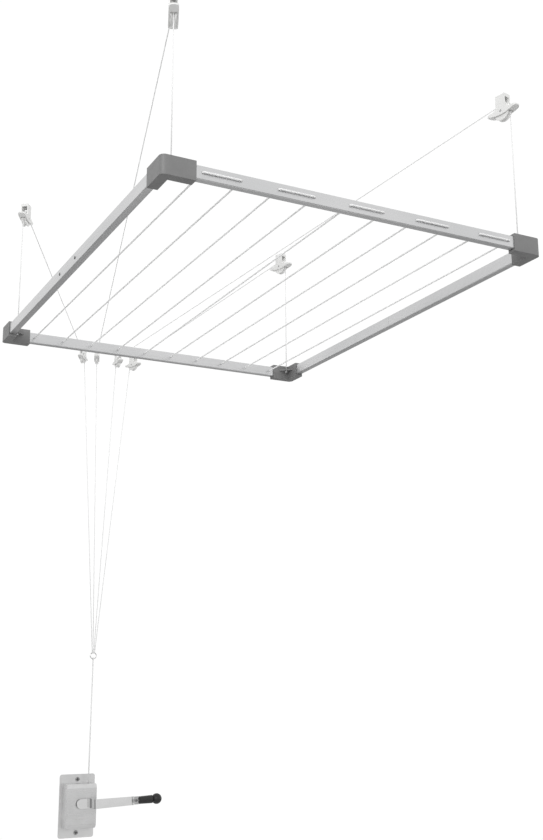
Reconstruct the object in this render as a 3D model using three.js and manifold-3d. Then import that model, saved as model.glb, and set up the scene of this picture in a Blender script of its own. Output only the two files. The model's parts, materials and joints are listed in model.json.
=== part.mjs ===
// Ceiling mounted pulley rack: a laced drying frame on four cords, eight ceiling pulleys and a wall winch.
// Millimetres, +Z up. While the model is laid out, x and y start at the frame's near left corner, with x
// along the near bar and y towards the wall, and z = 0 is the ceiling. The last lines move the origin to
// the ceiling face of the near left rack pulley.

import * as THREE from 'three';
import { mergeVertices } from 'three/addons/utils/BufferGeometryUtils.js';
import Module from 'manifold-3d';

const wasm = await Module();
wasm.setup();

// Clearance left between pieces that meet.
const GAP = 0.3;

// Drying frame.
const FRAME_WIDTH = 800;
const FRAME_DEPTH = 1030;
const FRAME_DROP = 362;
const CORNER_HEIGHT = 36;
const CORNER_THICKNESS = 20;
const CORNER_ARM = 64;
const CORNER_ROUND = 10;
const SOCKET_DEPTH = 42;
const SHELF_SIDE = 28;
const SHELF_THICKNESS = 3;
const SHELF_BELOW_TOP = 12;
const SHELF_HOLE_RADIUS = 1.8;
const BAR_HEIGHT = 25;
const BAR_THICKNESS = 15;
const BAR_WALL = 1.3;
const SPLICE_LENGTH = 140;
const SPLICE_WALL = 1.5;
const SPLICE_SCREW_OFFSET = 51;
const SPLICE_SCREW_RADIUS = 1.6;

// Clothes line laced through the near and far bars.
const LINE_DIAMETER = 3.5;
const LINE_PASSES = 10;
const LINE_PITCH = 72;
const LINE_HOLE_RADIUS = 2.1;
const LINE_BEND_RADIUS = 3;
const LINE_STANDOFF = 3;
const LINE_END = 5;

// Lift cords and the ring that joins them.
const CORD_DIAMETER = 2.2;
const CORD_INSET = 30;
const CORD_TAIL = 5;
const CORD_SIDES = 8;
const BEND_STEPS = 6;
const WINCH_CORD_DIAMETER = 4;
const RING_X = 632.5;
const RING_DROP = 1069.4;
const RING_RADIUS = 10.5;
const RING_WIRE = 3.2;
const RING_CORD_SPACING = 3;

// Pulleys. Lengths run along the cord, and z is measured down from the ceiling.
const PULLEY_WIDTH = 18;
const NECK_HALF_LENGTH = 12;
const NECK_BOTTOM = 26;
const FLANGE_HALF_LENGTH = 38;
const FLANGE_TOP = 33;
const FLANGE_BOTTOM = 36;
const FLANGE_BELLY = 44;
const FLANGE_END_ROUND = 7;
const AXLE_DROP = 36;
const AXLE_RADIUS = 2.5;
const WHEEL_PITCH_RADIUS = 18;
const WHEEL_RADIUS = 19.5;
const WHEEL_WIDTH = 11;
const GROOVE_FLOOR_RADIUS = 16.4;
const GROOVE_FLOOR_HALF = 1.2;
const GROOVE_MOUTH_HALF = 4.7;
const WHEEL_SLOT_WIDTH = 12.4;
const WHEEL_SLOT_HALF_LENGTH = 22;
const WHEEL_SLOT_TOP = 14;
const WINDOW_WIDTH = 13;
const WINDOW_TOP = 7;
const WINDOW_BOTTOM = 25;
const CEILING_SCREW_OFFSET = 7;
const CEILING_SCREW_RADIUS = 2;

// Wall winch, with its drum's axis along y.
const WALL_Y = 2170;
const WINCH_X = 601;
const WINCH_DROP = 1544;
const PLATE_WIDTH = 120;
const PLATE_HEIGHT = 200;
const PLATE_THICKNESS = 3;
const PLATE_ROUND = 8;
const PLATE_DROP = 1554;
const PLATE_SHIFT = -1;
const WALL_SCREW_OFFSET = 84;
const WALL_SCREW_RADIUS = 3.3;
const BOSS_RADIUS = 14;
const BOSS_LENGTH = 6;
const COVER_WIDTH = 100;
const COVER_HEIGHT = 139;
const COVER_DEPTH = 50;
const COVER_WALL = 1.6;
const COVER_ROUND = 14;
const COVER_DROP = 1552;
const CORD_SLOT_WIDTH = 8;
const CORD_SLOT_LENGTH = 12;
const SHAFT_RADIUS = 6;
const DRUM_PITCH_RADIUS = 28;
const DRUM_FLANGE_RADIUS = 38;
const DRUM_WIDTH = 30;
const DRUM_FLANGE = 2.5;
const DRUM_TO_WALL = 28;
const BRAKE_RADIUS = 34;
const BRAKE_THICKNESS = 8;

// Crank and its folding handle.
const CRANK_REST_DEGREES = 2.1;
const CRANK_RADIUS = 160;
const CRANK_HUB_RADIUS = 15.5;
const CRANK_HUB_REACH = 18.7;
const CRANK_HUB_GAP = 4;
const CRANK_STEP_X = 32;
const CRANK_STEP_OUT = 40;
const STRIP_THICKNESS = 4;
const STRIP_TIP_HALF_WIDTH = 13.5;
const CRANK_SOCKET_RADIUS = 11;
const KNUCKLE_RADIUS = 4.5;
const LUG_KNUCKLE_HALF = 5;
const PIN_RADIUS = 2;
const TONGUE_LENGTH = 20;
const TONGUE_HALF_HEIGHT = 12.5;
const SPINDLE_RADIUS = 4;
const GRIP_ROOT_RADIUS = 12;
const GRIP_END_RADIUS = 13;
const GRIP_LENGTH = 50;
const BALL_RADIUS = 17;
const BALL_CENTRE = 83;

// Derived levels.
const WHEEL_CENTRE_Z = -AXLE_DROP;
const FRAME_Z = -FRAME_DROP;
const BAR_Z = FRAME_Z + CORNER_HEIGHT / 2;
const BAR_INSET = (CORNER_THICKNESS - BAR_THICKNESS) / 2;
const BAR_START = CORNER_ARM - SOCKET_DEPTH;
const SHELF_Z = FRAME_Z + CORNER_HEIGHT - SHELF_BELOW_TOP - SHELF_THICKNESS;
const HOIST_Y = WALL_Y - DRUM_TO_WALL;
const HOIST_X = WINCH_X + DRUM_PITCH_RADIUS;
const WINCH_Z = -WINCH_DROP;
const COVER_BACK_Y = WALL_Y - PLATE_THICKNESS - GAP;
const COVER_FRONT_Y = COVER_BACK_Y - COVER_DEPTH;
const HUB_BACK_Y = COVER_FRONT_Y - CRANK_HUB_GAP;
const ARM_Y = HUB_BACK_Y - CRANK_STEP_OUT - STRIP_THICKNESS / 2;

// Where each lift cord drops to the frame, and the centre of its wall pulley. The brackets' bearings run
// from +y towards +x, in degrees.
const farDropY = FRAME_DEPTH - CORD_INSET;
const rightDropX = FRAME_WIDTH - CORD_INSET;
const CORDS = [
  { name: 'near_left', drop: [CORD_INSET, CORD_INSET], bearing: 21, wall: [594, 2094], wallBearing: 18.5 },
  { name: 'near_right', drop: [rightDropX, CORD_INSET], bearing: -10, wall: [676, 2104], wallBearing: 0 },
  { name: 'far_left', drop: [CORD_INSET, farDropY], bearing: 33, wall: [547, 2108], wallBearing: 34 },
  { name: 'far_right', drop: [rightDropX, farDropY], bearing: -18, wall: [739, 2115], wallBearing: -20 },
];
// The order in which the four cords meet the ring, from left to right.
const RING_ORDER = ['far_left', 'near_left', 'near_right', 'far_right'];

// Materials.
function finish(color, roughness, metalness) {
  return new THREE.MeshStandardMaterial({ color, roughness, metalness });
}
const barAluminium = () => finish(0xc9cacc, 0.45, 0.9);
const greyPlastic = () => finish(0x86878a, 0.6, 0);
const whitePlastic = () => finish(0xf2f2ef, 0.45, 0);
const whiteCord = () => finish(0xf0efea, 0.85, 0);
const zincSteel = () => finish(0xb9bcc0, 0.4, 1);
const brushedSteel = () => finish(0xd3d4d6, 0.35, 1);
const chrome = () => finish(0xe9eaec, 0.12, 1);
const brakeLining = () => finish(0x5a4a40, 0.9, 0);
const blackPlastic = () => finish(0x1d1d1f, 0.5, 0);

// Solids.
function toManifold(geometry) {
  const bare = geometry.clone();
  bare.deleteAttribute('normal');
  bare.deleteAttribute('uv');
  const merged = mergeVertices(bare, 1e-4);
  const vertProperties = new Float32Array(merged.attributes.position.array);
  const triVerts = new Uint32Array(merged.index.array);
  return new wasm.Manifold(new wasm.Mesh({ numProp: 3, vertProperties, triVerts }));
}

function toGeometry(manifold) {
  const mesh = manifold.getMesh();
  const geometry = new THREE.BufferGeometry();
  geometry.setAttribute('position', new THREE.BufferAttribute(new Float32Array(mesh.vertProperties), 3));
  geometry.setIndex(new THREE.BufferAttribute(new Uint32Array(mesh.triVerts), 1));
  return geometry;
}

function combine(base, additions, cuts) {
  let result = toManifold(base);
  for (const addition of additions) {
    result = result.add(toManifold(addition));
  }
  for (const cut of cuts) {
    result = result.subtract(toManifold(cut));
  }
  return toGeometry(result);
}

function intersection(first, second) {
  return toGeometry(toManifold(first).intersect(toManifold(second)));
}

function box(low, high) {
  const size = high.map((value, axis) => value - low[axis]);
  const middle = high.map((value, axis) => (value + low[axis]) / 2);
  return new THREE.BoxGeometry(...size).translate(...middle);
}

// A cylinder from one end to the other along x, y or z.
function rod(axis, radius, start, end, sides = 24) {
  const geometry = new THREE.CylinderGeometry(radius, radius, end - start, sides);
  geometry.translate(0, (start + end) / 2, 0);
  if (axis === 'x') {
    return geometry.rotateZ(-Math.PI / 2);
  }
  return axis === 'z' ? geometry.rotateX(Math.PI / 2) : geometry;
}

// A solid of revolution about y, through [radius, y] points that close on themselves.
function turned(points, sides = 24) {
  const outline = points.map(([radius, y]) => new THREE.Vector2(radius, y));
  return new THREE.LatheGeometry([...outline, outline[0]], sides);
}

// Extrudes a shape drawn in x and z along y, from start to end.
function extrudeY(shape, start, end, curveSegments = 6) {
  const settings = { depth: end - start, bevelEnabled: false, curveSegments };
  return new THREE.ExtrudeGeometry(shape, settings).rotateX(Math.PI / 2).translate(0, end, 0);
}

function extrudeZ(shape, start, end, curveSegments = 6) {
  const settings = { depth: end - start, bevelEnabled: false, curveSegments };
  return new THREE.ExtrudeGeometry(shape, settings).translate(0, 0, start);
}

function roundedRectangle(width, height, radius) {
  const right = width / 2;
  const top = height / 2;
  const shape = new THREE.Shape();
  shape.moveTo(-right + radius, -top);
  shape.lineTo(right - radius, -top);
  shape.absarc(right - radius, -top + radius, radius, -Math.PI / 2, 0, false);
  shape.lineTo(right, top - radius);
  shape.absarc(right - radius, top - radius, radius, 0, Math.PI / 2, false);
  shape.lineTo(-right + radius, top);
  shape.absarc(-right + radius, top - radius, radius, Math.PI / 2, Math.PI, false);
  shape.lineTo(-right, -top + radius);
  shape.absarc(-right + radius, -top + radius, radius, Math.PI, 1.5 * Math.PI, false);
  return shape;
}

// A route through points, with one ring of a tube's skin at each point.
class Route extends THREE.Curve {
  constructor(points) {
    super();
    this.points = points;
  }

  getPoint(t, target = new THREE.Vector3()) {
    const place = t * (this.points.length - 1);
    const index = Math.min(Math.max(Math.floor(place), 0), this.points.length - 2);
    return target.copy(this.points[index]).lerp(this.points[index + 1], place - index);
  }

  getPointAt(u, target) {
    return this.getPoint(u, target);
  }

  // The direction at a point is midway between those of the two stretches that meet there.
  getTangentAt(u, target = new THREE.Vector3()) {
    const last = this.points.length - 1;
    const index = Math.round(u * last);
    const here = this.points[index];
    const before = this.points[Math.max(index - 1, 0)];
    const after = this.points[Math.min(index + 1, last)];
    const arriving = here.clone().sub(before).normalize();
    const leaving = after.clone().sub(here).normalize();
    return target.copy(arriving).add(leaving).normalize();
  }
}

function tube(points, diameter) {
  const section = new THREE.Shape();
  for (let side = 0; side < CORD_SIDES; side += 1) {
    const angle = (side * 2 * Math.PI) / CORD_SIDES;
    const x = (diameter / 2) * Math.cos(angle);
    const y = (diameter / 2) * Math.sin(angle);
    if (side === 0) {
      section.moveTo(x, y);
    } else {
      section.lineTo(x, y);
    }
  }
  const settings = { steps: points.length - 1, extrudePath: new Route(points), bevelEnabled: false };
  return new THREE.ExtrudeGeometry(section, settings);
}

const rack = new THREE.Group();

function place(name, geometry, material, parent = rack) {
  const mesh = new THREE.Mesh(geometry, material);
  mesh.name = name;
  parent.add(mesh);
  return mesh;
}

// Frame corners: two socketed arms and a shelf that holds the knotted end of a lift cord.
function cornerGeometry() {
  const outline = new THREE.Shape();
  outline.moveTo(0, CORNER_ROUND);
  outline.absarc(CORNER_ROUND, CORNER_ROUND, CORNER_ROUND, Math.PI, 1.5 * Math.PI, false);
  outline.lineTo(CORNER_ARM, 0);
  outline.lineTo(CORNER_ARM, CORNER_THICKNESS);
  outline.lineTo(CORNER_THICKNESS, CORNER_THICKNESS);
  outline.lineTo(CORNER_THICKNESS, CORNER_ARM);
  outline.lineTo(0, CORNER_ARM);
  const body = extrudeZ(outline, FRAME_Z, FRAME_Z + CORNER_HEIGHT);

  const shelfStart = CORNER_THICKNESS - 1;
  const shelfOutline = new THREE.Shape();
  shelfOutline.moveTo(shelfStart, shelfStart);
  shelfOutline.lineTo(CORNER_THICKNESS + SHELF_SIDE, shelfStart);
  shelfOutline.lineTo(CORNER_THICKNESS + SHELF_SIDE, CORNER_THICKNESS);
  shelfOutline.lineTo(CORNER_THICKNESS, CORNER_THICKNESS + SHELF_SIDE);
  shelfOutline.lineTo(shelfStart, CORNER_THICKNESS + SHELF_SIDE);
  const shelf = extrudeZ(shelfOutline, SHELF_Z, SHELF_Z + SHELF_THICKNESS);

  const socketLow = BAR_INSET - GAP;
  const socketHigh = BAR_INSET + BAR_THICKNESS + GAP;
  const socketBottom = BAR_Z - BAR_HEIGHT / 2 - GAP;
  const socketTop = BAR_Z + BAR_HEIGHT / 2 + GAP;
  const socketStart = BAR_START - GAP;
  const socketEnd = CORNER_ARM + 1;
  const alongX = box([socketStart, socketLow, socketBottom], [socketEnd, socketHigh, socketTop]);
  const alongY = box([socketLow, socketStart, socketBottom], [socketHigh, socketEnd, socketTop]);
  const cordHole = rod('z', SHELF_HOLE_RADIUS, SHELF_Z - 1, SHELF_Z + SHELF_THICKNESS + 1, 16);
  cordHole.translate(CORD_INSET, CORD_INSET, 0);
  return combine(body, [shelf], [alongX, alongY, cordHole]);
}

function addCorners() {
  const corners = [
    ['corner_near_left', 0, 0, 0],
    ['corner_near_right', FRAME_WIDTH, 0, 1],
    ['corner_far_right', FRAME_WIDTH, FRAME_DEPTH, 2],
    ['corner_far_left', 0, FRAME_DEPTH, 3],
  ];
  for (const [name, x, y, quarterTurns] of corners) {
    const corner = place(name, cornerGeometry(), greyPlastic());
    corner.position.set(x, y, 0);
    corner.rotation.z = (quarterTurns * Math.PI) / 2;
  }
}

// Rectangular tube along y, centred on x = 0 and on the bars' level.
function hollowBar(width, height, wall, start, end) {
  const outer = roundedRectangle(width, height, 1.5);
  outer.holes.push(roundedRectangle(width - 2 * wall, height - 2 * wall, 0.6));
  return extrudeY(outer, start, end, 2).translate(0, 0, BAR_Z);
}

function linePassX(pass) {
  return FRAME_WIDTH / 2 + (pass - (LINE_PASSES - 1) / 2) * LINE_PITCH;
}

// A bar along x, drilled through both walls for every pass of the clothes line.
function lacedBar(middleY) {
  const length = FRAME_WIDTH - 2 * BAR_START;
  const bar = hollowBar(BAR_THICKNESS, BAR_HEIGHT, BAR_WALL, -length / 2, length / 2);
  bar.rotateZ(Math.PI / 2).translate(FRAME_WIDTH / 2, middleY, 0);
  const holes = [];
  for (let pass = 0; pass < LINE_PASSES; pass += 1) {
    const hole = rod('y', LINE_HOLE_RADIUS, -BAR_THICKNESS, BAR_THICKNESS, 16);
    holes.push(hole.translate(linePassX(pass), middleY, BAR_Z));
  }
  return combine(bar, [], holes);
}

// Half a side bar, drilled through its outer wall for the screw that holds the splice.
function sideBar(middleX, start, end, screwY, outward) {
  const bar = hollowBar(BAR_THICKNESS, BAR_HEIGHT, BAR_WALL, start, end).translate(middleX, 0, 0);
  const reach = outward * BAR_THICKNESS;
  const hole = rod('x', SPLICE_SCREW_RADIUS, Math.min(0, reach), Math.max(0, reach), 12);
  return combine(bar, [], [hole.translate(middleX, screwY, BAR_Z)]);
}

function addBars() {
  const nearY = BAR_INSET + BAR_THICKNESS / 2;
  place('near_bar', lacedBar(nearY), barAluminium());
  place('far_bar', lacedBar(FRAME_DEPTH - nearY), barAluminium());

  const middle = FRAME_DEPTH / 2;
  const far = FRAME_DEPTH - BAR_START;
  const spliceWidth = BAR_THICKNESS - 2 * (BAR_WALL + GAP);
  const spliceHeight = BAR_HEIGHT - 2 * (BAR_WALL + GAP);
  const sides = [
    ['left', nearY, -1],
    ['right', FRAME_WIDTH - nearY, 1],
  ];
  for (const [side, x, outward] of sides) {
    const nearHalf = sideBar(x, BAR_START, middle - GAP / 2, middle - SPLICE_SCREW_OFFSET, outward);
    const farHalf = sideBar(x, middle + GAP / 2, far, middle + SPLICE_SCREW_OFFSET, outward);
    place(`${side}_bar_near`, nearHalf, barAluminium());
    place(`${side}_bar_far`, farHalf, barAluminium());
    const spliceStart = middle - SPLICE_LENGTH / 2;
    const spliceEnd = spliceStart + SPLICE_LENGTH;
    const splice = hollowBar(spliceWidth, spliceHeight, SPLICE_WALL, spliceStart, spliceEnd);
    place(`${side}_splice`, splice.translate(x, 0, 0), zincSteel());
  }
}

// Points of a round bend in the plane of two directions, from the start direction to the end direction.
function bend(centre, radius, startSide, endSide, steps) {
  const points = [];
  for (let step = 0; step <= steps; step += 1) {
    const angle = (step / steps) * (Math.PI / 2);
    const point = centre.clone();
    point.addScaledVector(startSide, radius * Math.cos(angle));
    point.addScaledVector(endSide, radius * Math.sin(angle));
    points.push(point);
  }
  return points;
}

// The clothes line crosses the frame ten times. It turns on the far bar's outer side, then on the near
// bar's, and both its ends are knotted outside the far bar.
function clothesLinePoints() {
  const alongX = new THREE.Vector3(1, 0, 0);
  const nearCentre = BAR_INSET - LINE_STANDOFF + LINE_BEND_RADIUS;
  const farEnd = FRAME_DEPTH - BAR_INSET + LINE_END;
  const points = [new THREE.Vector3(linePassX(0), farEnd, BAR_Z)];
  for (let pass = 0; pass < LINE_PASSES - 1; pass += 1) {
    const atNear = pass % 2 === 0;
    const centre = atNear ? nearCentre : FRAME_DEPTH - nearCentre;
    const outward = new THREE.Vector3(0, atNear ? -1 : 1, 0);
    const leaving = new THREE.Vector3(linePassX(pass) + LINE_BEND_RADIUS, centre, BAR_Z);
    const entering = new THREE.Vector3(linePassX(pass + 1) - LINE_BEND_RADIUS, centre, BAR_Z);
    points.push(...bend(leaving, LINE_BEND_RADIUS, alongX.clone().negate(), outward, 3));
    points.push(...bend(entering, LINE_BEND_RADIUS, outward, alongX, 3));
  }
  points.push(new THREE.Vector3(linePassX(LINE_PASSES - 1), farEnd, BAR_Z));
  return points;
}

// Pulley bracket: a neck under the ceiling that flares into a long flange around the wheel.
function bracketGeometry() {
  const side = new THREE.Shape();
  side.moveTo(-NECK_HALF_LENGTH, 0);
  side.lineTo(-NECK_HALF_LENGTH, -NECK_BOTTOM);
  side.quadraticCurveTo(-NECK_HALF_LENGTH, -FLANGE_TOP, -FLANGE_HALF_LENGTH, -FLANGE_TOP);
  side.lineTo(-FLANGE_HALF_LENGTH, -FLANGE_BOTTOM);
  side.quadraticCurveTo(0, FLANGE_BOTTOM - 2 * FLANGE_BELLY, FLANGE_HALF_LENGTH, -FLANGE_BOTTOM);
  side.lineTo(FLANGE_HALF_LENGTH, -FLANGE_TOP);
  side.quadraticCurveTo(NECK_HALF_LENGTH, -FLANGE_TOP, NECK_HALF_LENGTH, -NECK_BOTTOM);
  side.lineTo(NECK_HALF_LENGTH, 0);
  const blank = extrudeY(side, -PULLEY_WIDTH / 2, PULLEY_WIDTH / 2);
  const plan = roundedRectangle(2 * FLANGE_HALF_LENGTH, PULLEY_WIDTH, FLANGE_END_ROUND);
  const body = intersection(blank, extrudeZ(plan, -2 * FLANGE_BELLY, 1, 4));

  const slotHalf = WHEEL_SLOT_WIDTH / 2;
  const slotLow = [-WHEEL_SLOT_HALF_LENGTH, -slotHalf, -FLANGE_BELLY - 1];
  const slot = box(slotLow, [WHEEL_SLOT_HALF_LENGTH, slotHalf, -WHEEL_SLOT_TOP]);
  const windowHalf = WINDOW_WIDTH / 2;
  const windowLow = [-FLANGE_HALF_LENGTH, -windowHalf, -WINDOW_BOTTOM];
  const window = box(windowLow, [FLANGE_HALF_LENGTH, windowHalf, -WINDOW_TOP]);
  const axleHole = rod('y', AXLE_RADIUS + GAP, -PULLEY_WIDTH, PULLEY_WIDTH, 16);
  axleHole.translate(0, 0, WHEEL_CENTRE_Z);
  const screwHoles = [-1, 1].map((end) => {
    const hole = rod('z', CEILING_SCREW_RADIUS, -WINDOW_TOP - 1, 1, 12);
    return hole.translate(end * CEILING_SCREW_OFFSET, 0, 0);
  });
  return combine(body, [], [slot, window, axleHole, ...screwHoles]);
}

function wheelGeometry() {
  const half = WHEEL_WIDTH / 2;
  return turned([
    [AXLE_RADIUS + GAP, -half],
    [WHEEL_RADIUS, -half],
    [WHEEL_RADIUS, -GROOVE_MOUTH_HALF],
    [GROOVE_FLOOR_RADIUS, -GROOVE_FLOOR_HALF],
    [GROOVE_FLOOR_RADIUS, GROOVE_FLOOR_HALF],
    [WHEEL_RADIUS, GROOVE_MOUTH_HALF],
    [WHEEL_RADIUS, half],
    [AXLE_RADIUS + GAP, half],
  ]);
}

function addPulley(name, centre, direction) {
  const pulley = new THREE.Group();
  pulley.position.set(centre.x, centre.y, 0);
  pulley.rotation.z = Math.atan2(direction.y, direction.x);
  rack.add(pulley);
  place(`${name}_bracket`, bracketGeometry(), whitePlastic(), pulley);
  place(`${name}_wheel`, wheelGeometry(), whitePlastic(), pulley).position.z = WHEEL_CENTRE_Z;
  const axleHalf = PULLEY_WIDTH / 2 - GAP;
  const axle = rod('y', AXLE_RADIUS, -axleHalf, axleHalf, 16);
  place(`${name}_axle`, axle, zincSteel(), pulley).position.z = WHEEL_CENTRE_Z;
}

function heading(bearing) {
  const angle = THREE.MathUtils.degToRad(bearing);
  return new THREE.Vector3(Math.sin(angle), Math.cos(angle), 0);
}

// One lift cord: a drop to the frame, a run along the ceiling over both wheels, and a fall to the ring.
function addLiftCord({ name, drop, bearing, wall, wallBearing }) {
  const up = new THREE.Vector3(0, 0, 1);
  const dropTop = new THREE.Vector3(...drop, WHEEL_CENTRE_Z);
  const rackWay = heading(bearing);
  const rackCentre = dropTop.clone().addScaledVector(rackWay, WHEEL_PITCH_RADIUS);
  const wallWay = heading(wallBearing);
  const wallCentre = new THREE.Vector3(...wall, WHEEL_CENTRE_Z);
  addPulley(`rack_pulley_${name}`, rackCentre, rackWay);
  addPulley(`wall_pulley_${name}`, wallCentre, wallWay);

  const shelfTail = new THREE.Vector3(...drop, SHELF_Z - CORD_TAIL);
  const dropEnd = dropTop.clone().addScaledVector(up, -GAP);
  place(`lift_cord_${name}_drop`, tube([shelfTail, dropEnd], CORD_DIAMETER), whiteCord());

  const overRack = bend(rackCentre, WHEEL_PITCH_RADIUS, rackWay.clone().negate(), up, BEND_STEPS);
  const overWall = bend(wallCentre, WHEEL_PITCH_RADIUS, up, wallWay, BEND_STEPS);
  place(`lift_cord_${name}_run`, tube([...overRack, ...overWall], CORD_DIAMETER), whiteCord());

  const ringPlace = RING_ORDER.indexOf(name) - (RING_ORDER.length - 1) / 2;
  const ringTop = RING_RADIUS + RING_WIRE / 2 + 2 * GAP;
  const ringEnd = new THREE.Vector3(RING_X + ringPlace * RING_CORD_SPACING, HOIST_Y, ringTop - RING_DROP);
  const fallStart = wallCentre.clone().addScaledVector(wallWay, WHEEL_PITCH_RADIUS).addScaledVector(up, -GAP);
  place(`lift_cord_${name}_fall`, tube([fallStart, ringEnd], CORD_DIAMETER), whiteCord());
}

function addRing() {
  const wire = [];
  for (let side = 0; side < 8; side += 1) {
    const angle = (side * Math.PI) / 4;
    wire.push([RING_RADIUS + (RING_WIRE / 2) * Math.cos(angle), (RING_WIRE / 2) * Math.sin(angle)]);
  }
  place('join_ring', turned(wire, 28), chrome()).position.set(RING_X, HOIST_Y, -RING_DROP);
  const ringBottom = -RING_DROP - RING_RADIUS - RING_WIRE / 2 - GAP;
  const top = new THREE.Vector3(RING_X, HOIST_Y, ringBottom);
  const bottom = new THREE.Vector3(HOIST_X, HOIST_Y, WINCH_Z);
  place('winch_cord', tube([top, bottom], WINCH_CORD_DIAMETER), whiteCord());
}

// Winch: everything is drawn about the shaft's axis, with y kept as laid out.
const winch = new THREE.Group();
winch.position.set(WINCH_X, 0, WINCH_Z);
rack.add(winch);
const crank = new THREE.Group();
crank.rotation.y = -THREE.MathUtils.degToRad(CRANK_REST_DEGREES);
winch.add(crank);

function addWinchPlate() {
  const outline = roundedRectangle(PLATE_WIDTH, PLATE_HEIGHT, PLATE_ROUND);
  const front = WALL_Y - PLATE_THICKNESS;
  const plateZ = WINCH_DROP - PLATE_DROP;
  const plate = extrudeY(outline, front, WALL_Y).translate(PLATE_SHIFT, 0, plateZ);
  const boss = rod('y', BOSS_RADIUS, front - BOSS_LENGTH, front + 1);
  const bearing = rod('y', SHAFT_RADIUS + GAP, front - BOSS_LENGTH - 1, front);
  const screwHoles = [-1, 1].map((end) => {
    const hole = rod('y', WALL_SCREW_RADIUS, front - 1, WALL_Y + 1, 16);
    return hole.translate(PLATE_SHIFT, 0, plateZ + end * WALL_SCREW_OFFSET);
  });
  place('winch_plate', combine(plate, [boss], [bearing, ...screwHoles]), brushedSteel(), winch);
}

// A block whose front turns over in a round bend at its top and bottom.
function bentBlock(width, height, front, back, radius) {
  const side = new THREE.Shape();
  side.moveTo(back, height / 2);
  side.lineTo(front + radius, height / 2);
  side.absarc(front + radius, height / 2 - radius, radius, Math.PI / 2, Math.PI, false);
  side.lineTo(front, -height / 2 + radius);
  side.absarc(front + radius, -height / 2 + radius, radius, Math.PI, 1.5 * Math.PI, false);
  side.lineTo(back, -height / 2);
  const alongY = new THREE.Vector3(0, 1, 0);
  const alongZ = new THREE.Vector3(0, 0, 1);
  const alongX = new THREE.Vector3(1, 0, 0);
  const turn = new THREE.Matrix4().makeBasis(alongY, alongZ, alongX);
  return extrudeZ(side, -width / 2, width / 2, 8).applyMatrix4(turn);
}

function addWinchCover() {
  const middleZ = WINCH_DROP - COVER_DROP;
  const shell = bentBlock(COVER_WIDTH, COVER_HEIGHT, COVER_FRONT_Y, COVER_BACK_Y, COVER_ROUND);
  const innerWidth = COVER_WIDTH - 2 * COVER_WALL;
  const innerHeight = COVER_HEIGHT - 2 * COVER_WALL;
  const innerFront = COVER_FRONT_Y + COVER_WALL;
  const innerRound = COVER_ROUND - COVER_WALL;
  const hollow = bentBlock(innerWidth, innerHeight, innerFront, COVER_BACK_Y + 1, innerRound);
  const shaftHole = rod('y', SHAFT_RADIUS + 1, COVER_FRONT_Y - 1, innerFront + 1);
  const slotX = HOIST_X - WINCH_X;
  const top = middleZ + COVER_HEIGHT / 2;
  const slotLow = [slotX - CORD_SLOT_WIDTH / 2, HOIST_Y - CORD_SLOT_LENGTH / 2, top - 5];
  const slotHigh = [slotX + CORD_SLOT_WIDTH / 2, HOIST_Y + CORD_SLOT_LENGTH / 2, top + 5];
  shell.translate(0, 0, middleZ);
  hollow.translate(0, 0, middleZ);
  const cover = combine(shell, [], [hollow, shaftHole, box(slotLow, slotHigh)]);
  place('winch_cover', cover, brushedSteel(), winch);
}

function addWinchInside() {
  const bore = SHAFT_RADIUS + GAP;
  const drumHalf = DRUM_WIDTH / 2;
  const coreRadius = DRUM_PITCH_RADIUS - WINCH_CORD_DIAMETER / 2 - GAP;
  const drum = turned([
    [bore, -drumHalf],
    [DRUM_FLANGE_RADIUS, -drumHalf],
    [DRUM_FLANGE_RADIUS, -drumHalf + DRUM_FLANGE],
    [coreRadius, -drumHalf + DRUM_FLANGE],
    [coreRadius, drumHalf - DRUM_FLANGE],
    [DRUM_FLANGE_RADIUS, drumHalf - DRUM_FLANGE],
    [DRUM_FLANGE_RADIUS, drumHalf],
    [bore, drumHalf],
  ], 36);
  place('winch_drum', drum, whitePlastic(), winch).position.y = HOIST_Y;

  const shaftBack = WALL_Y - PLATE_THICKNESS - GAP;
  const shaftFront = HUB_BACK_Y - STRIP_THICKNESS / 2;
  place('winch_shaft', rod('y', SHAFT_RADIUS, shaftFront, shaftBack), zincSteel(), winch);

  const brakeFront = COVER_FRONT_Y + COVER_WALL + GAP;
  const brake = turned([
    [SHAFT_RADIUS + 1, brakeFront],
    [BRAKE_RADIUS, brakeFront],
    [BRAKE_RADIUS, brakeFront + BRAKE_THICKNESS],
    [SHAFT_RADIUS + 1, brakeFront + BRAKE_THICKNESS],
  ]);
  place('winch_brake_disc', brake, brakeLining(), winch);
}

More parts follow.
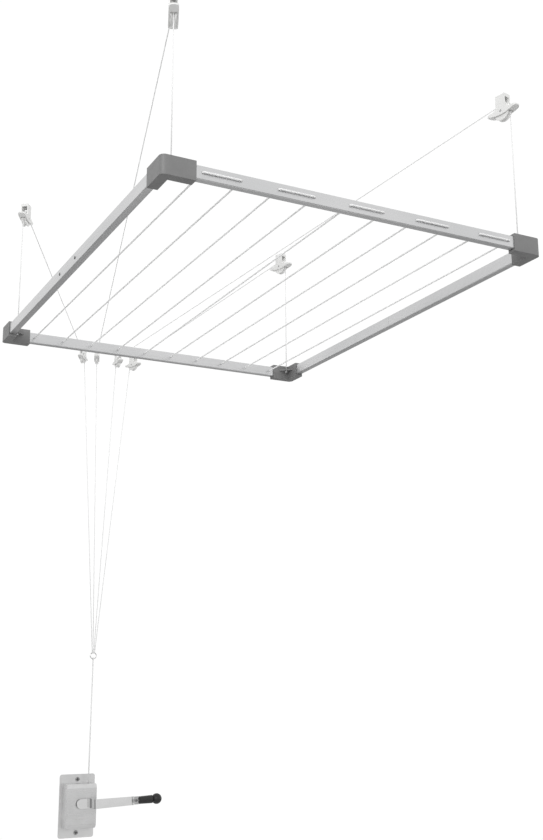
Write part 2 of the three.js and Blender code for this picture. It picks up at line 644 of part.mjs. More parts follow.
// Crank: a flat strip with a step outwards, a socket for the shaft and two hinge knuckles at its tip.
function addCrankArm() {
  const hubBack = HUB_BACK_Y;
  const hubFront = HUB_BACK_Y - STRIP_THICKNESS;
  const armBack = ARM_Y + STRIP_THICKNESS / 2;
  const armFront = ARM_Y - STRIP_THICKNESS / 2;
  const tip = CRANK_RADIUS;
  const stepInner = CRANK_STEP_X - STRIP_THICKNESS;

  const side = new THREE.Shape();
  side.moveTo(-CRANK_HUB_REACH, hubBack);
  side.lineTo(-CRANK_HUB_REACH, hubFront);
  side.lineTo(stepInner - 3, hubFront);
  side.lineTo(stepInner, hubFront - 3);
  side.lineTo(stepInner, armFront + 3);
  side.lineTo(stepInner + 3, armFront);
  side.lineTo(tip, armFront);
  side.lineTo(tip, armBack);
  side.lineTo(CRANK_STEP_X + 2, armBack);
  side.lineTo(CRANK_STEP_X, armBack + 2);
  side.lineTo(CRANK_STEP_X, hubBack - 2);
  side.lineTo(CRANK_STEP_X - 2, hubBack);
  const strip = extrudeZ(side, -CRANK_HUB_RADIUS, CRANK_HUB_RADIUS);

  const face = new THREE.Shape();
  const endCentre = CRANK_HUB_RADIUS - CRANK_HUB_REACH;
  face.moveTo(endCentre, -CRANK_HUB_RADIUS);
  face.lineTo(tip, -STRIP_TIP_HALF_WIDTH);
  face.lineTo(tip, STRIP_TIP_HALF_WIDTH);
  face.lineTo(endCentre, CRANK_HUB_RADIUS);
  face.absarc(endCentre, 0, CRANK_HUB_RADIUS, Math.PI / 2, 1.5 * Math.PI, false);
  const profile = intersection(strip, extrudeY(face, armFront - 5, hubBack + 5, 10));

  const socket = rod('y', CRANK_SOCKET_RADIUS, hubBack - 1, hubBack + CRANK_HUB_GAP - 1);
  const boreFront = hubBack - STRIP_THICKNESS / 2 - GAP;
  const socketBore = rod('y', SHAFT_RADIUS + GAP, boreFront, hubBack + CRANK_HUB_GAP);
  const knuckles = rod('z', KNUCKLE_RADIUS, -STRIP_TIP_HALF_WIDTH, STRIP_TIP_HALF_WIDTH);
  knuckles.translate(tip, ARM_Y, 0);
  const pinHole = rod('z', PIN_RADIUS + GAP, -CRANK_HUB_RADIUS, CRANK_HUB_RADIUS, 16);
  pinHole.translate(tip, ARM_Y, 0);
  const lugRoom = LUG_KNUCKLE_HALF + GAP;
  const lugSpace = rod('z', KNUCKLE_RADIUS + 2 * GAP, -lugRoom, lugRoom).translate(tip, ARM_Y, 0);
  const tongueSpace = box([tip, ARM_Y - 10, -lugRoom], [tip + 10, ARM_Y + 10, lugRoom]);
  const cuts = [socketBore, pinHole, lugSpace, tongueSpace];
  place('crank_arm', combine(profile, [socket, knuckles], cuts), chrome(), crank);

  const pin = rod('z', PIN_RADIUS, -STRIP_TIP_HALF_WIDTH, STRIP_TIP_HALF_WIDTH, 16);
  place('handle_pin', pin.translate(tip, ARM_Y, 0), zincSteel(), crank);
}

// Handle: a lug that folds on the pin, with a spindle on which the tapered, ball ended grip spins.
function addHandle() {
  const handle = new THREE.Group();
  handle.position.set(CRANK_RADIUS, ARM_Y, 0);
  crank.add(handle);

  const knuckle = rod('z', KNUCKLE_RADIUS, -LUG_KNUCKLE_HALF, LUG_KNUCKLE_HALF);
  const strap = box([0, -STRIP_THICKNESS / 2, -LUG_KNUCKLE_HALF], [7, STRIP_THICKNESS / 2, LUG_KNUCKLE_HALF]);
  const tongueEnd = TONGUE_LENGTH - GAP;
  const tongueLow = [6, -STRIP_THICKNESS / 2, -TONGUE_HALF_HEIGHT];
  const tongue = box(tongueLow, [tongueEnd, STRIP_THICKNESS / 2, TONGUE_HALF_HEIGHT]);
  const spindle = rod('x', SPINDLE_RADIUS, tongueEnd - 2, BALL_CENTRE, 20);
  const pinHole = rod('z', PIN_RADIUS + GAP, -CRANK_HUB_RADIUS, CRANK_HUB_RADIUS, 16);
  place('handle_lug', combine(knuckle, [strap, tongue, spindle], [pinHole]), chrome(), handle);

  const outline = new THREE.Path();
  const bore = SPINDLE_RADIUS + GAP;
  const boreEnd = BALL_CENTRE + GAP;
  outline.moveTo(0, BALL_CENTRE + BALL_RADIUS);
  const ballStart = Math.asin((GRIP_END_RADIUS - 3) / BALL_RADIUS);
  outline.absarc(0, BALL_CENTRE, BALL_RADIUS, Math.PI / 2, -Math.PI / 2 + ballStart, true);
  outline.lineTo(GRIP_END_RADIUS, TONGUE_LENGTH + GRIP_LENGTH - 4);
  outline.lineTo(GRIP_ROOT_RADIUS, TONGUE_LENGTH + 1.5);
  outline.lineTo(GRIP_ROOT_RADIUS - 1.5, TONGUE_LENGTH);
  outline.lineTo(bore, TONGUE_LENGTH);
  outline.lineTo(bore, boreEnd);
  outline.lineTo(0, boreEnd);
  const points = outline.getPoints(9);
  const grip = new THREE.LatheGeometry(points.reverse(), 24).rotateZ(-Math.PI / 2);
  place('handle_grip', grip, blackPlastic(), handle);
}

addCorners();
addBars();
place('clothes_line', tube(clothesLinePoints(), LINE_DIAMETER), whiteCord());
CORDS.forEach(addLiftCord);
addRing();
addWinchPlate();
addWinchCover();
addWinchInside();
addCrankArm();
addHandle();

// Put the origin on the ceiling face of the near left rack pulley.
const [originCord] = CORDS;
const origin = new THREE.Vector3(...originCord.drop, 0);
origin.addScaledVector(heading(originCord.bearing), WHEEL_PITCH_RADIUS);
rack.position.copy(origin).negate();
const model = new THREE.Group();
model.add(rack);

export default model;
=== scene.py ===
import json
import math

import bmesh
import bpy
from mathutils import Matrix, Vector


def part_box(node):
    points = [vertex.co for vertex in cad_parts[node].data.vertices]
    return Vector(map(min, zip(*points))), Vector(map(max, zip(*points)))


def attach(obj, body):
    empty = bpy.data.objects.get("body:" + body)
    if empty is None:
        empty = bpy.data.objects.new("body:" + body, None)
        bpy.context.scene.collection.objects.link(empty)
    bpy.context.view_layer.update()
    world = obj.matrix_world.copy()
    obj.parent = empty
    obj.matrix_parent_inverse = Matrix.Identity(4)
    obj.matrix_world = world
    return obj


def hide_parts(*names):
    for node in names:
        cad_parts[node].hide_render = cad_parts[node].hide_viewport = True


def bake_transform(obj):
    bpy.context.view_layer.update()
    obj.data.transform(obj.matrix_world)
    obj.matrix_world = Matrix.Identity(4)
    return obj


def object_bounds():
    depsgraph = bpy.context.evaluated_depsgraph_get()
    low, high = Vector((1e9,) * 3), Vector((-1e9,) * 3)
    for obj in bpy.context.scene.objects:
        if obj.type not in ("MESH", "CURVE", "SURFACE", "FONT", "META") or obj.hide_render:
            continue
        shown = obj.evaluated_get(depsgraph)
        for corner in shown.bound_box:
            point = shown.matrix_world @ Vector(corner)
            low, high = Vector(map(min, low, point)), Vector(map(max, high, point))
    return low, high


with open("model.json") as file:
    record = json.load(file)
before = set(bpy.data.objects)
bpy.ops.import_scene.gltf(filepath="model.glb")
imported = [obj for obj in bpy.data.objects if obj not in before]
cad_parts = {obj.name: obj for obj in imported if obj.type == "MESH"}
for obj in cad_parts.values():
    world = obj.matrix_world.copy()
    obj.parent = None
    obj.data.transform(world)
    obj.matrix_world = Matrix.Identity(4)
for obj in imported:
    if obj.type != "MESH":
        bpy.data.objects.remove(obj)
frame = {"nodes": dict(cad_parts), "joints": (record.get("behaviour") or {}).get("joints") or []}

cad_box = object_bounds()

MM = 0.001
CORD_NAMES = ("near_left", "near_right", "far_left", "far_right")
RING_ORDER = ("far_left", "near_left", "near_right", "far_right")
LIFT_CORD_RADIUS = 1.1 * MM
WINCH_CORD_RADIUS = 2 * MM
CLOTHES_LINE_RADIUS = 1.75 * MM
WHEEL_PITCH_RADIUS = 18 * MM
DRUM_PITCH_RADIUS = 28 * MM
DRUM_CORE_RADIUS = 25.7 * MM
RING_RADIUS = 10.5 * MM
RING_WIRE_RADIUS = 1.6 * MM
RING_CORD_SPACING = 3 * MM
PLATE_THICKNESS = 3 * MM
WALL_SCREW_OFFSET = 84 * MM
SPLICE_SCREW_OFFSET = 51 * MM
CEILING_SCREW_OFFSET = 7 * MM
CEILING_SCREW_LEVEL = 7 * MM
RIVET_OFFSET = 10.5 * MM
STRIP_THICKNESS = 4 * MM
LOOP_STEPS = 20
WINDING_STEPS = 32
# The middle part of a texture's values, which is where nearly all of them lie.
TEXTURE_LOW = 0.3
TEXTURE_HIGH = 0.7
# Heights of a direction between which the world's light fades from below to above.
FADE_BOTTOM = -0.35
FADE_TOP = -0.02
# X of a direction between which the dark side of the world's light fades out.
FLAG_FULL = -0.97
FLAG_END = -0.72


# Camera

def place_camera(location, yaw, pitch, roll, lens):
    """Stands the camera at location, turned by yaw from +Y towards +X, then tipped up and rolled."""
    forward = Vector((math.sin(yaw) * math.cos(pitch), math.cos(yaw) * math.cos(pitch), math.sin(pitch)))
    level = Vector((math.cos(yaw), -math.sin(yaw), 0))
    upright = level.cross(forward)
    right = level * math.cos(roll) + upright * math.sin(roll)
    up = upright * math.cos(roll) - level * math.sin(roll)
    data = bpy.data.cameras.new("camera")
    data.lens = lens
    data.sensor_width = 36
    camera = bpy.data.objects.new("camera", data)
    camera.matrix_world = Matrix.Translation(location) @ Matrix((right, up, -forward)).transposed().to_4x4()
    bpy.context.collection.objects.link(camera)
    bpy.context.scene.camera = camera


place_camera(
    location=Vector((-0.65465, -1.6211, -1.1866)),
    yaw=math.radians(27.535),
    pitch=math.radians(13.604),
    roll=math.radians(-0.27),
    lens=47.86,
)


# Materials

class Nodes:
    """A material's node tree, with short ways to add and join its nodes."""

    def __init__(self, name, color, roughness, metallic=0.0):
        self.material = bpy.data.materials.new(name)
        self.material.use_nodes = True
        self.tree = self.material.node_tree
        self.shader = self.tree.nodes["Principled BSDF"]
        self.shader.inputs["Base Color"].default_value = (*color, 1)
        self.shader.inputs["Roughness"].default_value = roughness
        self.shader.inputs["Metallic"].default_value = metallic

    def add(self, kind, **values):
        node = self.tree.nodes.new(kind)
        for key, value in values.items():
            if hasattr(node, key):
                setattr(node, key, value)
            else:
                node.inputs[key.replace("_", " ")].default_value = value
        return node

    def join(self, output, target):
        self.tree.links.new(output, target)

    def coordinates(self, stretch=(1, 1, 1)):
        """The piece's own coordinates, multiplied along each axis."""
        source = self.add("ShaderNodeTexCoord")
        mapping = self.add("ShaderNodeMapping")
        mapping.inputs["Scale"].default_value = stretch
        self.join(source.outputs["Object"], mapping.inputs["Vector"])
        return mapping.outputs["Vector"]

    def noise(self, scale, detail=3.0, stretch=(1, 1, 1)):
        node = self.add("ShaderNodeTexNoise", Scale=scale, Detail=detail)
        self.join(self.coordinates(stretch), node.inputs["Vector"])
        return node.outputs["Fac"]

    def spread(self, factor, low, high):
        """Maps a texture's middle range to low..high."""
        node = self.add("ShaderNodeMapRange")
        node.inputs["From Min"].default_value = TEXTURE_LOW
        node.inputs["From Max"].default_value = TEXTURE_HIGH
        node.inputs["To Min"].default_value = low
        node.inputs["To Max"].default_value = high
        self.join(factor, node.inputs["Value"])
        return node.outputs["Result"]

    def vary_roughness(self, factor, low, high):
        self.join(self.spread(factor, low, high), self.shader.inputs["Roughness"])

    def vary_color(self, factor, dark, light):
        ramp = self.add("ShaderNodeValToRGB")
        ramp.color_ramp.elements[0].position = TEXTURE_LOW
        ramp.color_ramp.elements[0].color = (*dark, 1)
        ramp.color_ramp.elements[1].position = TEXTURE_HIGH
        ramp.color_ramp.elements[1].color = (*light, 1)
        self.join(factor, ramp.inputs["Fac"])
        self.join(ramp.outputs["Color"], self.shader.inputs["Base Color"])

    def bump(self, height, strength, distance):
        node = self.add("ShaderNodeBump", Strength=strength, Distance=distance)
        self.join(height, node.inputs["Height"])
        self.join(node.outputs["Normal"], self.shader.inputs["Normal"])


def grey(value):
    return (value, value, value)


def make_aluminium(name, stretch):
    """Drawn aluminium, with fine lines along the bar."""
    nodes = Nodes(name, grey(0.66), 0.36, metallic=1)
    lines = nodes.noise(1, 2, stretch)
    nodes.vary_roughness(lines, 0.33, 0.4)
    nodes.vary_color(nodes.noise(5, 2), (0.62, 0.625, 0.63), (0.68, 0.68, 0.685))
    nodes.bump(lines, 0.03, 0.0001)
    return nodes.material


def make_plastic(name, dark, light, roughness, grain_strength=0.15):
    """Moulded plastic, with a fine grain and faint changes of shade."""
    nodes = Nodes(name, light, roughness)
    nodes.vary_color(nodes.noise(35, 3), dark, light)
    nodes.vary_roughness(nodes.noise(180, 2), roughness - 0.06, roughness + 0.06)
    nodes.bump(nodes.noise(700, 2), grain_strength, 0.00005)
    return nodes.material


def make_cord(name, dark, light):
    """Braided cord: small cells stand for its strands, and light passes through the white fibres."""
    nodes = Nodes(name, light, 0.8)
    strands = nodes.add("ShaderNodeTexVoronoi", Scale=900.0)
    nodes.join(nodes.coordinates(), strands.inputs["Vector"])
    nodes.vary_color(strands.outputs["Distance"], light, dark)
    nodes.bump(strands.outputs["Distance"], 0.12, 0.0001)
    nodes.shader.inputs["Subsurface Weight"].default_value = 0.7
    nodes.shader.inputs["Subsurface Radius"].default_value = (1, 1, 1)
    nodes.shader.inputs["Subsurface Scale"].default_value = 0.004
    return nodes.material


def make_metal(name, dark, light, low, high, stretch=(1, 1, 1), scale=60):
    """Bare or plated metal, with brushing or faint cloudiness."""
    nodes = Nodes(name, light, (low + high) / 2, metallic=1)
    marks = nodes.noise(scale, 3, stretch)
    nodes.vary_roughness(marks, low, high)
    nodes.vary_color(nodes.noise(25, 2), dark, light)
    nodes.bump(marks, 0.1, 0.0001)
    return nodes.material


aluminium_x = make_aluminium("aluminium_along_x", (3, 400, 400))
aluminium_y = make_aluminium("aluminium_along_y", (400, 3, 400))
grey_plastic = make_plastic("grey_plastic", grey(0.2), grey(0.23), 0.5)
white_plastic = make_plastic("white_plastic", (0.88, 0.88, 0.87), (0.92, 0.92, 0.91), 0.4, 0.03)
black_plastic = make_plastic("black_plastic", grey(0.006), grey(0.012), 0.45)
lining = make_plastic("brake_lining", (0.08, 0.06, 0.05), (0.12, 0.1, 0.08), 0.8, 0.5)
lift_cord = make_cord("lift_cord", grey(0.84), grey(0.93))
line_cord = make_cord("clothes_line", grey(0.9), grey(0.98))
winch_line = make_cord("winch_line", grey(0.68), grey(0.8))
zinc = make_metal("zinc", grey(0.5), grey(0.6), 0.3, 0.45)
screw_steel = make_metal("screw_steel", grey(0.36), grey(0.44), 0.3, 0.45)
# Near-black steel for the cross recesses of the screws: painted shade, standing in for the shadow inside
# the recess.
recess_painted_shade = make_metal("recess_painted_shade", grey(0.03), grey(0.06), 0.4, 0.5)
dark_screw = make_metal("dark_screw", grey(0.16), grey(0.24), 0.35, 0.5)
BRUSHED = (3, 300, 300)
plate_steel = make_metal("plate_steel", grey(0.66), grey(0.72), 0.38, 0.5, BRUSHED, 2)
cover_steel = make_metal("cover_steel", grey(0.62), grey(0.68), 0.24, 0.36, BRUSHED, 2)
chrome = make_metal("chrome", grey(0.72), grey(0.78), 0.08, 0.14)
lug_steel = make_metal("lug_steel", grey(0.4), grey(0.55), 0.15, 0.25)
ring_steel = make_metal("ring_steel", grey(0.6), grey(0.7), 0.3, 0.4)


# Meshes

def add_object(name, mesh, material, body=None):
    mesh.materials.append(material)
    piece = bpy.data.objects.new(name, mesh)
    bpy.context.collection.objects.link(piece)
    if body:
        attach(piece, body)
    return piece


def finish_mesh(name, builder, smooth=True):
    bmesh.ops.recalc_face_normals(builder, faces=builder.faces)
    for face in builder.faces:
        face.smooth = smooth
    mesh = bpy.data.meshes.new(name)
    builder.to_mesh(mesh)
    builder.free()
    return mesh


def tube_mesh(name, points, radius, sides=12, closed=False):
    """A round tube through points, its ends capped unless it closes on itself."""
    builder = bmesh.new()
    count = len(points)
    rings = []
    side_way = None
    for index, point in enumerate(points):
        before = points[index - 1] if closed or index > 0 else point
        after = points[(index + 1) % count] if closed or index < count - 1 else point
        tangent = (after - before).normalized()
        if side_way is None:
            side_way = tangent.orthogonal().normalized()
        side_way = (side_way - tangent * side_way.dot(tangent)).normalized()
        other_way = tangent.cross(side_way)
        ring = []
        for side in range(sides):
            angle = 2 * math.pi * side / sides
            offset = side_way * math.cos(angle) + other_way * math.sin(angle)
            ring.append(builder.verts.new(point + offset * radius))
        rings.append(ring)
    pairs = list(zip(rings, rings[1:]))
    if closed:
        pairs.append((rings[-1], rings[0]))
    for ring, following in pairs:
        for side in range(sides):
            turned = (side + 1) % sides
            builder.faces.new((ring[side], ring[turned], following[turned], following[side]))
    if not closed:
        builder.faces.new(rings[0])
        builder.faces.new(rings[-1])
    return finish_mesh(name, builder)


def lathe_mesh(name, profile, sides=32):
    """A solid of revolution about z, through (radius, z) points that start and end on the axis."""
    builder = bmesh.new()
    rings = []
    for radius, height in profile:
        if radius == 0:
            rings.append([builder.verts.new((0, 0, height))])
            continue
        ring = []
        for side in range(sides):
            angle = 2 * math.pi * side / sides
            ring.append(builder.verts.new((radius * math.cos(angle), radius * math.sin(angle), height)))
        rings.append(ring)
    for ring, following in zip(rings, rings[1:]):
        for side in range(sides):
            turned = (side + 1) % sides
            corners = [ring[side % len(ring)], ring[turned % len(ring)]]
            corners += [following[turned % len(following)], following[side % len(following)]]
            builder.faces.new(list(dict.fromkeys(corners)))
    return finish_mesh(name, builder)


def centre(node):
    low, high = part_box(node)
    return (low + high) / 2


def joint(name):
    return next(entry for entry in frame["joints"] if entry["name"] == name)


def wheel_heading(pulley):
    """The level direction in which a pulley carries its cord from the frame's side to the wall's side."""
    axis = joint(f"{pulley}_turn")["axis"]
    return Vector((axis[1], -axis[0], 0)).normalized()


# Cords

def blended_cord(node, top, bottom, radius, material):
    """A straight cord from a fixed end to a moving one. It stands for the node of the same route."""
    cord = add_object(f"{node}_cord", tube_mesh(node, [top, bottom], radius), material)
    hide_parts(node)
    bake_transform(cord)


ring_centre = centre("join_ring")
for cord_name in CORD_NAMES:
    drop_node = f"lift_cord_{cord_name}_drop"
    low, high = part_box(drop_node)
    axis = centre(drop_node)
    blended_cord(
        drop_node,
        Vector((axis.x, axis.y, high.z)),
        Vector((axis.x, axis.y, low.z)),
        LIFT_CORD_RADIUS,
        lift_cord,
    )
    fall_node = f"lift_cord_{cord_name}_fall"
    low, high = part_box(fall_node)
    wheel = centre(f"wall_pulley_{cord_name}_wheel")
    way = wheel_heading(f"wall_pulley_{cord_name}")
    fall_top = wheel + way * WHEEL_PITCH_RADIUS
    offset = RING_ORDER.index(cord_name) - (len(RING_ORDER) - 1) / 2
    blended_cord(
        fall_node,
        Vector((fall_top.x, fall_top.y, high.z)),
        Vector((ring_centre.x + offset * RING_CORD_SPACING, ring_centre.y, low.z)),
        LIFT_CORD_RADIUS,
        lift_cord,
    )
drum_centre = centre("winch_drum")
low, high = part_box("winch_cord")
blended_cord(
    "winch_cord",
    Vector((ring_centre.x, ring_centre.y, high.z)),
    Vector((drum_centre.x + DRUM_PITCH_RADIUS, drum_centre.y, low.z)),
    WINCH_CORD_RADIUS,
    winch_line,
)


def knot_points(size, count=40):
    """A trefoil, which is an overhand knot drawn tight."""
    points = []
    for step in range(count):
        t = 2 * math.pi * step / count
        x = math.sin(t) + 2 * math.sin(2 * t)
        y = math.cos(t) - 2 * math.cos(2 * t)
        points.append(Vector((x, y, -1.3 * math.sin(3 * t))) * size)
    return points


def add_knot(name, at, radius, body, tightness=0.7):
    points = [at + point for point in knot_points(radius * tightness)]
    knot = add_object(name, tube_mesh(name, points, radius, 8, closed=True), lift_cord, body)


def add_loop(name, at, loop_radius, cord_radius, body):
    """A round turn of cord about a wire that runs along x."""
    points = []
    for step in range(LOOP_STEPS):
        angle = 2 * math.pi * step / LOOP_STEPS
        points.append(at + Vector((0, math.cos(angle), math.sin(angle))) * loop_radius)
    loop = add_object(name, tube_mesh(name, points, cord_radius, 8, closed=True), lift_cord, body)


for cord_name in CORD_NAMES:
    end = centre(f"lift_cord_{cord_name}_drop")
    end.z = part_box(f"lift_cord_{cord_name}_drop")[0].z + LIFT_CORD_RADIUS
    add_knot(f"drop_knot_{cord_name}", end, LIFT_CORD_RADIUS, "rack", 0.45)
    offset = (RING_ORDER.index(cord_name) - (len(RING_ORDER) - 1) / 2) * RING_CORD_SPACING
    wire_height = math.sqrt(RING_RADIUS ** 2 - offset ** 2)
    loop_radius = RING_WIRE_RADIUS + LIFT_CORD_RADIUS
    on_wire = ring_centre + Vector((offset, 0, wire_height))
    add_loop(f"ring_loop_{cord_name}", on_wire, loop_radius, LIFT_CORD_RADIUS, "ring")
add_loop(
    "ring_loop_winch",
    ring_centre - Vector((0, 0, RING_RADIUS)),
    RING_WIRE_RADIUS + WINCH_CORD_RADIUS,
    WINCH_CORD_RADIUS,
    "ring",
)

line_low, line_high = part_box("clothes_line")
line_ends = {"left": line_low.x + CLOTHES_LINE_RADIUS, "right": line_high.x - CLOTHES_LINE_RADIUS}
for side, line_x in line_ends.items():
    line_end = Vector((line_x, line_high.y - CLOTHES_LINE_RADIUS, (line_low.z + line_high.z) / 2))
    add_knot(f"line_knot_{side}", line_end, CLOTHES_LINE_RADIUS, "rack", 0.6)


def add_winding(turns, pitch):
    """The turns of the winch cord on the drum."""
    points = []
    steps = turns * WINDING_STEPS
    radius = DRUM_CORE_RADIUS + WINCH_CORD_RADIUS
    for step in range(steps + 1):
        angle = 2 * math.pi * step / WINDING_STEPS
        along = (step / steps - 0.5) * turns * pitch
        points.append(drum_centre + Vector((radius * math.cos(angle), along, radius * math.sin(angle))))
    mesh = tube_mesh("drum_winding", points, WINCH_CORD_RADIUS, 8)
    winding = add_object("drum_winding", mesh, lift_cord, "crank")


add_winding(turns=5, pitch=4.1 * MM)


# Screws and rivet

def screw_mesh(name, radius, height, recess):
    """A pan head that faces +z. A recess of (reach, half width, depth) cuts a cross into its top.

    The recess takes the mesh's second material.
    """
    builder = bmesh.new()
    sides = 32
    rings = []
    for scale, level in ((1, 0), (1, 0.35), (0.93, 0.7), (0.78, 1)):
        ring = []
        for side in range(sides):
            angle = 2 * math.pi * side / sides
            x = radius * scale * math.cos(angle)
            y = radius * scale * math.sin(angle)
            ring.append(builder.verts.new((x, y, height * level)))
        rings.append(ring)
    for ring, following in zip(rings, rings[1:]):
        for side in range(sides):
            turned = (side + 1) % sides
            builder.faces.new((ring[side], ring[turned], following[turned], following[side]))
    builder.faces.new(list(reversed(rings[0])))
    reach, half, depth = recess
    outline = []
    for quarter in range(4):
        turn = Matrix.Rotation(quarter * math.pi / 2, 3, "Z")
        for corner in ((half, half), (reach, half), (reach, -half)):
            outline.append(turn.inverted() @ Vector((*corner, height)))
    rim = [builder.verts.new(point) for point in outline]
    bottom = [builder.verts.new(point - Vector((0, 0, depth))) for point in outline]
    count = len(rim)
    for index in range(count):
        following = (index + 1) % count
        wall = builder.faces.new((rim[index], rim[following], bottom[following], bottom[index]))
        wall.material_index = 1
    builder.faces.new(bottom).material_index = 1
    edges = []
    for loop in (rings[-1], rim):
        for index, vertex in enumerate(loop):
            pair = (vertex, loop[(index + 1) % len(loop)])
            edges.append(builder.edges.get(pair) or builder.edges.new(pair))
    bmesh.ops.triangle_fill(builder, edges=edges, use_beauty=True)
    return finish_mesh(name, builder, smooth=False)


def stud_mesh(name, radius, height):
    """A low domed head that faces +z."""
    dome = ((1, 0), (1, 0.3), (0.9, 0.65), (0.6, 0.92))
    profile = [(radius * scale, height * level) for scale, level in dome]
    return lathe_mesh(name, [(0, 0), *profile, (0, height)])


def add_fastener(name, mesh, at, facing, material, body):
    """Stands a head on the surface at a point, with its top towards facing."""
    turn = facing.to_track_quat("Z", "X").to_matrix().to_4x4()
    mesh.transform(Matrix.Translation(at) @ turn)
    piece = add_object(name, mesh, material, body)
    return piece


plate_low, plate_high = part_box("winch_plate")
plate_centre = (plate_low + plate_high) / 2
for place, way in (("upper", 1), ("lower", -1)):
    head = screw_mesh(f"wall_screw_{place}", 7.3 * MM, 3.2 * MM, (5.2 * MM, 1.3 * MM, 2.6 * MM))
    at = Vector((plate_centre.x, plate_high.y - PLATE_THICKNESS, plate_centre.z + way * WALL_SCREW_OFFSET))
    name = f"wall_screw_{place}"
    screw = add_fastener(name, head, at, Vector((0, -1, 0)), screw_steel, "mounting")
    # The recess gets the near-black steel, which is painted shade.
    screw.data.materials.append(recess_painted_shade)

for side, way in (("left", -1), ("right", 1)):
    near_low, near_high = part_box(f"{side}_bar_near")
    outer_x = near_low.x if way < 0 else near_high.x
    middle_z = (near_low.z + near_high.z) / 2
    for half, offset in (("near", -SPLICE_SCREW_OFFSET), ("far", SPLICE_SCREW_OFFSET)):
        name = f"splice_screw_{side}_{half}"
        at = Vector((outer_x, near_high.y + offset, middle_z))
        head = stud_mesh(name, 3.3 * MM, 1.3 * MM)
        add_fastener(name, head, at, Vector((way, 0, 0)), dark_screw, "rack")

for pulley in [f"{row}_pulley_{name}" for row in ("rack", "wall") for name in CORD_NAMES]:
    way = wheel_heading(pulley)
    middle = centre(f"{pulley}_axle")
    for end, offset in (("front", -CEILING_SCREW_OFFSET), ("back", CEILING_SCREW_OFFSET)):
        name = f"{pulley}_screw_{end}"
        at = Vector((middle.x, middle.y, -CEILING_SCREW_LEVEL)) + way * offset
        head = stud_mesh(name, 3.4 * MM, 2.2 * MM)
        add_fastener(name, head, at, Vector((0, 0, -1)), screw_steel, "mounting")

arm_way = Vector(joint("grip_spin")["axis"])
rivet_at = Vector(joint("handle_fold")["pos_m"]) + arm_way * RIVET_OFFSET
rivet_at.y -= STRIP_THICKNESS / 2
rivet = stud_mesh("lug_rivet", 4.4 * MM, 1.8 * MM)
add_fastener("lug_rivet", rivet, rivet_at, Vector((0, -1, 0)), dark_screw, "handle")


# Floor and light

def add_floor(half_size, height):
    builder = bmesh.new()
    bmesh.ops.create_grid(builder, x_segments=1, y_segments=1, size=half_size)
    material = make_plastic("floor", grey(0.72), grey(0.75), 0.8)
    floor = add_object("floor", finish_mesh("floor", builder, smooth=False), material)
    middle = (cad_box[0] + cad_box[1]) / 2
    floor.location = (middle.x, middle.y, height)


def add_area_light(name, location, target, size, power):
    data = bpy.data.lights.new(name, "AREA")
    data.shape = "DISK"
    data.size = size
    data.energy = power
    light = bpy.data.objects.new(name, data)
    light.location = location
    light.rotation_mode = "QUATERNION"
    light.rotation_quaternion = (Vector(target) - Vector(location)).to_track_quat("-Z", "Y")
    bpy.context.collection.objects.link(light)


def make_world(below, above, flag, backdrop):
    """Soft light, stronger from above and weak on the -X side by flag, with an even backdrop."""
    world = bpy.data.worlds.new("studio")
    world.use_nodes = True
    bpy.context.scene.world = world
    tree = world.node_tree
    background = tree.nodes["Background"]
    output = tree.nodes["World Output"]
    coordinates = tree.nodes.new("ShaderNodeTexCoord")
    split = tree.nodes.new("ShaderNodeSeparateXYZ")
    tree.links.new(coordinates.outputs["Generated"], split.inputs["Vector"])
    strength = tree.nodes.new("ShaderNodeMath")
    strength.operation = "MULTIPLY"
    fades = (("Z", FADE_BOTTOM, FADE_TOP, below, above), ("X", FLAG_FULL, FLAG_END, flag, 1))
    for index, (axis_name, start, end, dim, bright) in enumerate(fades):
        fade = tree.nodes.new("ShaderNodeMapRange")
        fade.inputs["From Min"].default_value = start
        fade.inputs["From Max"].default_value = end
        fade.inputs["To Min"].default_value = dim
        fade.inputs["To Max"].default_value = bright
        tree.links.new(split.outputs[axis_name], fade.inputs["Value"])
        tree.links.new(fade.outputs["Result"], strength.inputs[index])
    tree.links.new(strength.outputs["Value"], background.inputs["Strength"])
    background.inputs["Color"].default_value = (1, 1, 1, 1)
    even = tree.nodes.new("ShaderNodeBackground")
    even.inputs["Strength"].default_value = backdrop
    even.inputs["Color"].default_value = (1, 1, 1, 1)
    seen = tree.nodes.new("ShaderNodeLightPath")
    mix = tree.nodes.new("ShaderNodeMixShader")
    tree.links.new(seen.outputs["Is Camera Ray"], mix.inputs["Fac"])
    tree.links.new(background.outputs["Background"], mix.inputs[1])
    tree.links.new(even.outputs["Background"], mix.inputs[2])
    tree.links.new(mix.outputs["Shader"], output.inputs["Surface"])


add_floor(half_size=2.2, height=cad_box[0].z - 0.9)
bpy.context.scene.view_settings.view_transform = "Standard"
make_world(below=0.2, above=0.97, flag=0.3, backdrop=1.02)
add_area_light("key", (-2.5, -2.5, 0.4), (0.4, 0.6, -0.8), 2.0, 60)


# CAD pieces: finer edges and real materials

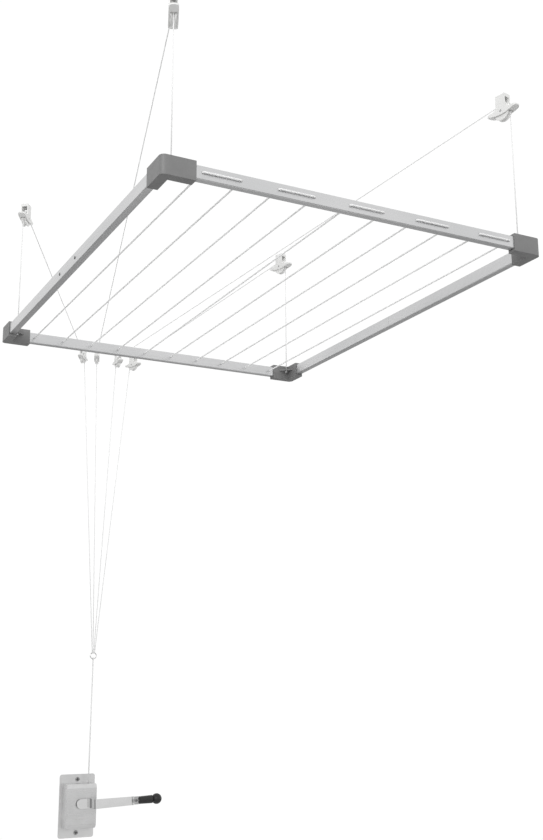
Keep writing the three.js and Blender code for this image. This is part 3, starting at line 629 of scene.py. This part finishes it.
def smooth_group(limit):
    """Shades smooth, apart from edges sharper than limit."""
    group = bpy.data.node_groups.new("smooth_by_angle", "GeometryNodeTree")
    group.interface.new_socket("Geometry", in_out="INPUT", socket_type="NodeSocketGeometry")
    group.interface.new_socket("Geometry", in_out="OUTPUT", socket_type="NodeSocketGeometry")
    start = group.nodes.new("NodeGroupInput")
    end = group.nodes.new("NodeGroupOutput")
    faces = group.nodes.new("GeometryNodeSetShadeSmooth")
    edges = group.nodes.new("GeometryNodeSetShadeSmooth")
    edges.domain = "EDGE"
    edges.inputs["Shade Smooth"].default_value = False
    angle = group.nodes.new("GeometryNodeInputMeshEdgeAngle")
    sharp = group.nodes.new("FunctionNodeCompare")
    sharp.data_type = "FLOAT"
    sharp.operation = "GREATER_THAN"
    sharp.inputs[1].default_value = limit
    group.links.new(start.outputs[0], faces.inputs["Geometry"])
    group.links.new(faces.outputs[0], edges.inputs["Geometry"])
    group.links.new(angle.outputs["Unsigned Angle"], sharp.inputs[0])
    group.links.new(sharp.outputs[0], edges.inputs["Selection"])
    group.links.new(edges.outputs[0], end.inputs[0])
    return group


shade_by_angle = smooth_group(math.radians(33))


def refine(node, edge):
    """Joins the split vertices, rounds sharp edges by edge metres and shades the round faces smooth."""
    piece = bpy.data.objects[node]
    weld = piece.modifiers.new("weld", "WELD")
    weld.merge_threshold = 1e-6
    if edge:
        bevel = piece.modifiers.new("bevel", "BEVEL")
        bevel.width = edge
        bevel.segments = 3
        bevel.limit_method = "ANGLE"
        bevel.angle_limit = math.radians(40)
        bevel.use_clamp_overlap = True
    shade = piece.modifiers.new("shade", "NODES")
    shade.node_group = shade_by_angle
    if edge:
        weighted = piece.modifiers.new("weighted", "WEIGHTED_NORMAL")
        weighted.keep_sharp = True


# Each entry: the nodes' names, their material and their edge rounding.
FINISHES = (
    (("near_bar", "far_bar"), aluminium_x, 0.25 * MM),
    (("left_bar_near", "left_bar_far", "right_bar_near", "right_bar_far"), aluminium_y, 0.25 * MM),
    (("left_splice", "right_splice", "winch_shaft", "handle_pin"), zinc, 0.2 * MM),
    (("winch_plate",), plate_steel, 0.25 * MM),
    (("winch_cover",), cover_steel, 0.25 * MM),
    (("crank_arm",), chrome, 0.4 * MM),
    (("handle_lug",), lug_steel, 0.4 * MM),
    (("join_ring",), ring_steel, 0),
    (("handle_grip",), black_plastic, 0),
    (("winch_drum",), white_plastic, 0.3 * MM),
    (("winch_brake_disc",), lining, 0.3 * MM),
    (("clothes_line",), line_cord, 0),
)


def finish_of(node):
    for names, material, edge in FINISHES:
        if node in names:
            return material, edge
    if node.startswith("corner_"):
        return grey_plastic, 0.6 * MM
    if node.startswith("lift_cord_"):
        return lift_cord, 0
    if node.endswith("_axle"):
        return zinc, 0.2 * MM
    return white_plastic, 0.4 * MM


for node_name in sorted(frame["nodes"]):
    node_material, node_edge = finish_of(node_name)
    node_object = bpy.data.objects[node_name]
    if node_object.hide_render:
        continue
    node_object.data.materials.clear()
    node_object.data.materials.append(node_material)
    refine(node_name, node_edge)
